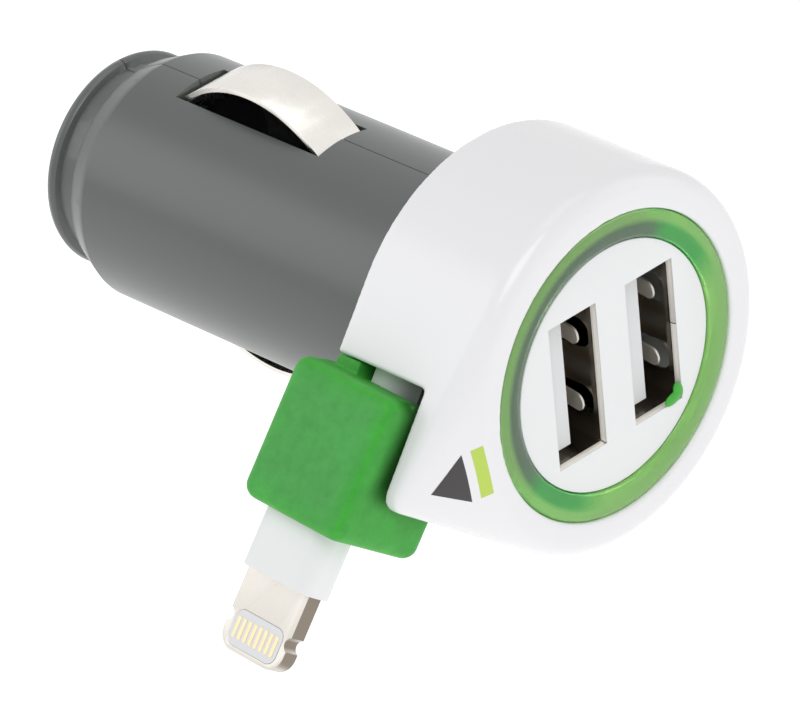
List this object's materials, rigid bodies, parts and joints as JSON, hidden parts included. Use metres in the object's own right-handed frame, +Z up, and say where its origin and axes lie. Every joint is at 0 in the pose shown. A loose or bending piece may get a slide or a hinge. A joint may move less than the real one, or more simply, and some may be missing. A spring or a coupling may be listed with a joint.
{
  "type": "car usb charger plug",
  "caption": "Grey car socket plug with bowed ground springs, a round white head, charging ports inside a green light ring, and a green-gripped pull-out phone plug on a flat cable",
  "frame": {"origin": "on the barrel axis, at the rear face of the head, where the barrel comes out of it", "axes": "+Y runs along the barrel to its tip, the port face looks along -Y, +Z is up along the long side of the ports, +X is to the right seen from the port face"},
  "size_m": [0.0467, 0.0587, 0.0321],
  "materials": {
    "white_gloss": "bright white moulded plastic, polished",
    "white_satin": "white moulded plastic, satin",
    "green_clear": "clear green moulded plastic, polished",
    "board_green": "green circuit board with solder mask",
    "board_white": "circuit board with white solder mask",
    "shell_steel": "plated steel sheet",
    "gold_plate": "thin gold plating",
    "black_part": "black moulded ferrite or epoxy",
    "capacitor_sleeve": "dark shrink sleeve",
    "brass": "turned brass",
    "grey_plastic": "mid grey moulded plastic, satin",
    "nickel": "nickel plate, satin to bright",
    "spring_steel": "spring steel",
    "grey_nylon": "natural grey nylon",
    "cable_grey": "light grey soft cable jacket",
    "green_rubber": "green soft-touch rubber",
    "insert_grey": "pale grey moulded insert"
  },
  "bodies": {
    "root": {"head_front": "white_gloss", "head_back": "white_gloss", "port_housing": "white_satin", "light_ring": "green_clear", "light_board": "board_white", "ring_leds": "white_satin", "port_shell_left": "shell_steel", "port_shell_right": "shell_steel", "port_tongue_left": "white_satin", "port_tongue_right": "white_satin", "port_contacts_left": "gold_plate", "port_contacts_right": "gold_plate", "port_board": "board_green", "power_board": "board_green", "inductor": "black_part", "smoothing_capacitor": "capacitor_sleeve", "converter_chip": "black_part", "tip_terminal": "brass", "barrel_left": "grey_plastic", "barrel_right": "grey_plastic", "mainspring": "spring_steel"},
    "plug": {"cable_lead": "cable_grey", "plug_grip": "green_rubber", "plug_body": "white_satin", "plug_tongue": "nickel", "plug_insert": "insert_grey", "plug_pads": "gold_plate", "plug_board": "board_green"},
    "reel": {"cable_reel": "grey_nylon", "wound_cable": "cable_grey"},
    "tip": {"tip_contact": "nickel", "tip_spring": "spring_steel"},
    "top_spring": {"ground_spring_top": "nickel"},
    "bottom_spring": {"ground_spring_bottom": "nickel"}
  },
  "joints": [
    {"name": "plug_pull", "type": "slide", "parent": "root", "child": "plug", "axis": [-0.5962, 0, -0.8028], "range_m": [0, 0.009], "stiffness_N_per_m": 6, "springref_m": -0.25},
    {"name": "reel_spin", "type": "hinge", "parent": "root", "child": "reel", "pos_m": [0, 0, 0], "axis": [0, 1, 0], "range_deg": [-36.6, 0]},
    {"name": "tip_press", "type": "slide", "parent": "root", "child": "tip", "axis": [0, 1, 0], "range_m": [-0.0025, 0], "stiffness_N_per_m": 400, "springref_m": 0.002},
    {"name": "top_spring_press", "type": "slide", "parent": "root", "child": "top_spring", "axis": [0, 0, 1], "range_m": [-0.0024, 0], "stiffness_N_per_m": 300, "springref_m": 0.001},
    {"name": "bottom_spring_press", "type": "slide", "parent": "root", "child": "bottom_spring", "axis": [0, 0, -1], "range_m": [-0.0024, 0], "stiffness_N_per_m": 300, "springref_m": 0.001}
  ],
  "couplings": [
    {"joint": "reel_spin", "follows": "plug_pull", "rad_per_m": -70.91}
  ]
}
